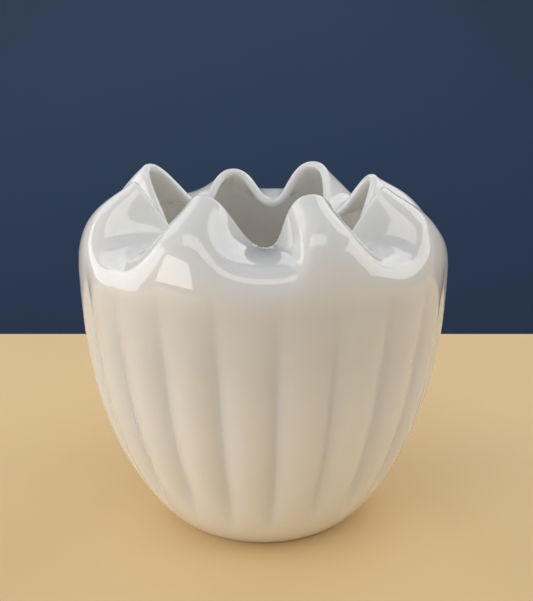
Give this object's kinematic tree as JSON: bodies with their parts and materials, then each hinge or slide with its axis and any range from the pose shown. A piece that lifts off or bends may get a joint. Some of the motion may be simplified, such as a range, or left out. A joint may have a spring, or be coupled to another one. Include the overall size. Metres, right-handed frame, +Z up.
{
  "type": "milk glass vase",
  "caption": "Blown opaque white glass vase with a ribbed rounded body and a wavy lip crimped inward by hand.",
  "frame": {"origin": "on the vase's axis, at the height of the bearing ring that it stands on", "axes": "+Z up along the axis, -Y towards the side that the picture shows, +X to the right in the picture"},
  "size_m": [0.1268, 0.1268, 0.1229],
  "materials": {
    "milk_glass": "fire-polished gloss, opaque white glass"
  },
  "bodies": {
    "root": {"glass_body": "milk_glass"}
  },
  "joints": []
}
